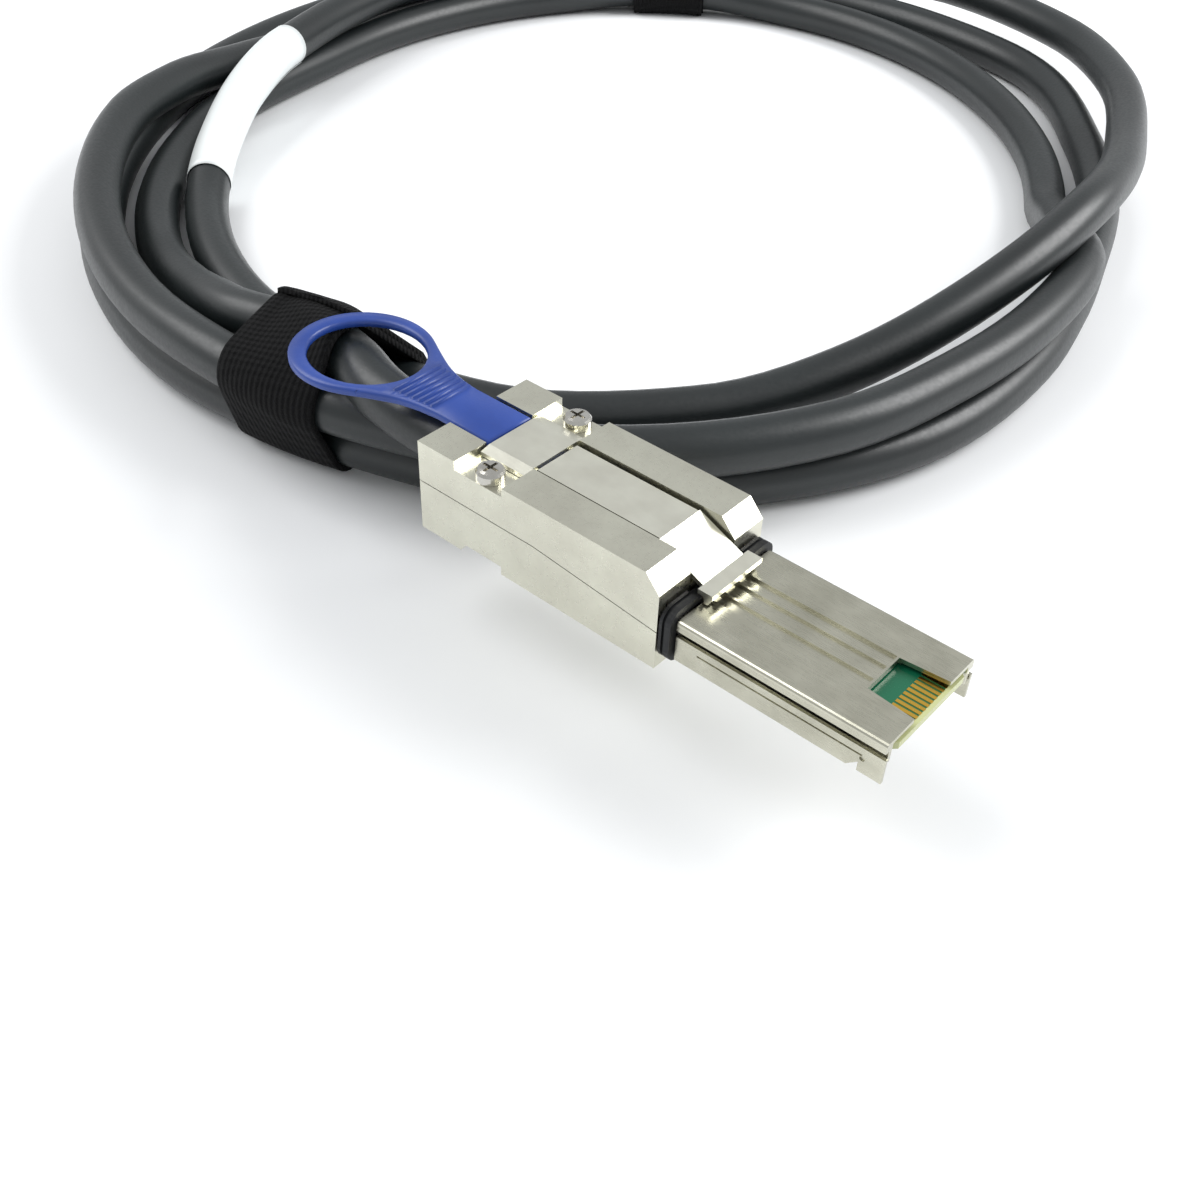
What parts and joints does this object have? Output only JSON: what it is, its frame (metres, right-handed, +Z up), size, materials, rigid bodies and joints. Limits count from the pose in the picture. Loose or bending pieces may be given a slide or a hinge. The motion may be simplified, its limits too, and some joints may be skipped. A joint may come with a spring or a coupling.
{
  "type": "storage cable assembly",
  "caption": "Shielded data cable wound into an oval coil under hook and loop straps, with a die-cast latching plug, rubber gasket and blue pull tab at either end.",
  "frame": {"origin": "on the surface, under the middle of the box round the two plugs", "axes": "+Z up; +X along the near plug towards its nose; +Y from the near plug towards the far plug"},
  "size_m": [0.2512, 0.3837, 0.026],
  "materials": {
    "plated_casting": "satin nickel plate on a die casting",
    "plated_sheet": "nickel plated stamped sheet",
    "screw_steel": "bright plated steel",
    "gasket_rubber": "matt moulded rubber",
    "board": "solder mask over glass laminate",
    "tab_plastic": "moulded plastic, slightly glossy",
    "jacket": "satin extruded jacket",
    "webbing": "woven hook and loop tape",
    "label_film": "satin printed film, blank",
    "core_insulation": "foil and insulation"
  },
  "bodies": {
    "assembly": {"near_upper_housing": "plated_casting", "near_lower_housing": "plated_casting", "near_nose_shell": "plated_sheet", "near_nose_tray": "plated_sheet", "near_gasket": "gasket_rubber", "near_paddle_board": "board", "near_latch_bracket": "plated_sheet", "near_lever_pin": "screw_steel", "near_latch_spring": "screw_steel", "near_screw_left": "screw_steel", "near_screw_right": "screw_steel", "near_cable_clamp": "plated_casting", "near_wire_bundle": "core_insulation", "far_upper_housing": "plated_casting", "far_lower_housing": "plated_casting", "far_nose_shell": "plated_sheet", "far_nose_tray": "plated_sheet", "far_gasket": "gasket_rubber", "far_paddle_board": "board", "far_latch_bracket": "plated_sheet", "far_lever_pin": "screw_steel", "far_latch_spring": "screw_steel", "far_screw_left": "screw_steel", "far_screw_right": "screw_steel", "far_cable_clamp": "plated_casting", "far_wire_bundle": "core_insulation", "cable_coil": "jacket", "cable_near": "jacket", "cable_far": "jacket", "near_strap": "webbing", "far_strap": "webbing", "cable_label": "label_film"},
    "near_tab": {"near_pull_tab": "tab_plastic"},
    "near_lever": {"near_latch_lever": "plated_sheet"},
    "far_tab": {"far_pull_tab": "tab_plastic"},
    "far_lever": {"far_latch_lever": "plated_sheet"}
  },
  "joints": [
    {"name": "near_tab_slide", "type": "slide", "parent": "assembly", "child": "near_tab", "axis": [-1, 0, 0], "range_m": [0, 0.002], "stiffness_N_per_m": 150, "springref_m": -0.001},
    {"name": "near_lever_hinge", "type": "hinge", "parent": "assembly", "child": "near_lever", "pos_m": [0.03196, -0.18173, 0.023], "axis": [0, -1, 0], "range_deg": [0, 3.5], "stiffness_Nm_per_rad": 0.02, "springref_deg": -2.86},
    {"name": "far_tab_slide", "type": "slide", "parent": "assembly", "child": "far_tab", "axis": [-0.4462, -0.8949, 0], "range_m": [0, 0.002], "stiffness_N_per_m": 150, "springref_m": -0.001},
    {"name": "far_lever_hinge", "type": "hinge", "parent": "assembly", "child": "far_lever", "pos_m": [-0.0594, 0.13909, 0.011], "axis": [0.8949, -0.4462, 0], "range_deg": [0, 3.5], "stiffness_Nm_per_rad": 0.02, "springref_deg": -2.86}
  ],
  "couplings": [
    {"joint": "near_lever_hinge", "follows": "near_tab_slide", "rad_per_m": 30.5},
    {"joint": "far_lever_hinge", "follows": "far_tab_slide", "rad_per_m": 30.5}
  ]
}
